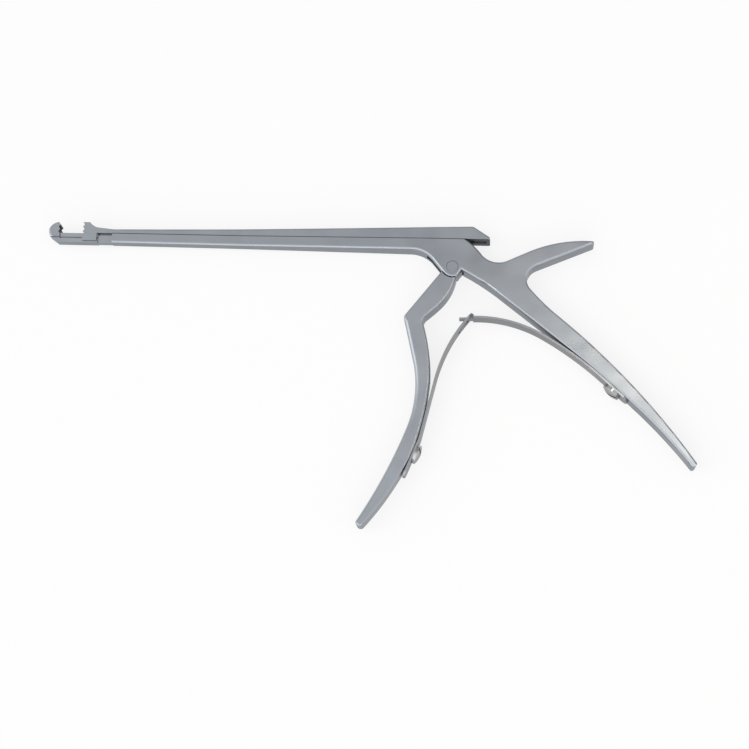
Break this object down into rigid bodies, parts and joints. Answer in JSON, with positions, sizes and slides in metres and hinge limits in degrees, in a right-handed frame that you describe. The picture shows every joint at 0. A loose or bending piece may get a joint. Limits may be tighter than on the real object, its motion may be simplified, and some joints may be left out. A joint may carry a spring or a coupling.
{
  "type": "bone rongeur",
  "caption": "Slide-action bone punch: a trigger handle draws a long upper shaft forward so that its serrated jaw bites against a fixed foot; slotted leaf springs open it.",
  "frame": {"origin": "axis of the pivot pin at the lower side face, on which the instrument lies", "axes": "+X along the slide from the foot to the handles, +Y from the handles to the top of the shaft, +Z across the instrument, up from the side it lies on"},
  "size_m": [0.2623, 0.1234, 0.008],
  "materials": {
    "satin_steel": "satin, finely blasted and brushed along the shaft",
    "pin_steel": "satin, ground flush",
    "spring_steel": "satin, brushed along the leaf",
    "screw_steel": "polished heads"
  },
  "bodies": {
    "frame": {"fixed_frame": "satin_steel", "pivot_pin": "pin_steel", "rear_leaf_spring": "spring_steel", "rear_spring_screw": "screw_steel"},
    "trigger": {"front_handle": "satin_steel", "front_leaf_spring": "spring_steel", "front_spring_screw": "screw_steel"},
    "slide": {"upper_slide": "satin_steel", "drive_pin": "pin_steel"}
  },
  "joints": [
    {"name": "trigger_hinge", "type": "hinge", "parent": "frame", "child": "trigger", "pos_m": [0, 0, 0.004], "axis": [0, 0, 1], "range_deg": [0, 36.75], "stiffness_Nm_per_rad": 1, "springref_deg": -20.05, "deforming": ["front_leaf_spring", "rear_leaf_spring"]},
    {"name": "slide_travel", "type": "slide", "parent": "frame", "child": "slide", "axis": [-1, 0, 0], "range_m": [0, 0.0095]}
  ],
  "couplings": [
    {"joint": "slide_travel", "follows": "trigger_hinge", "m_per_rad": 0.014811}
  ]
}
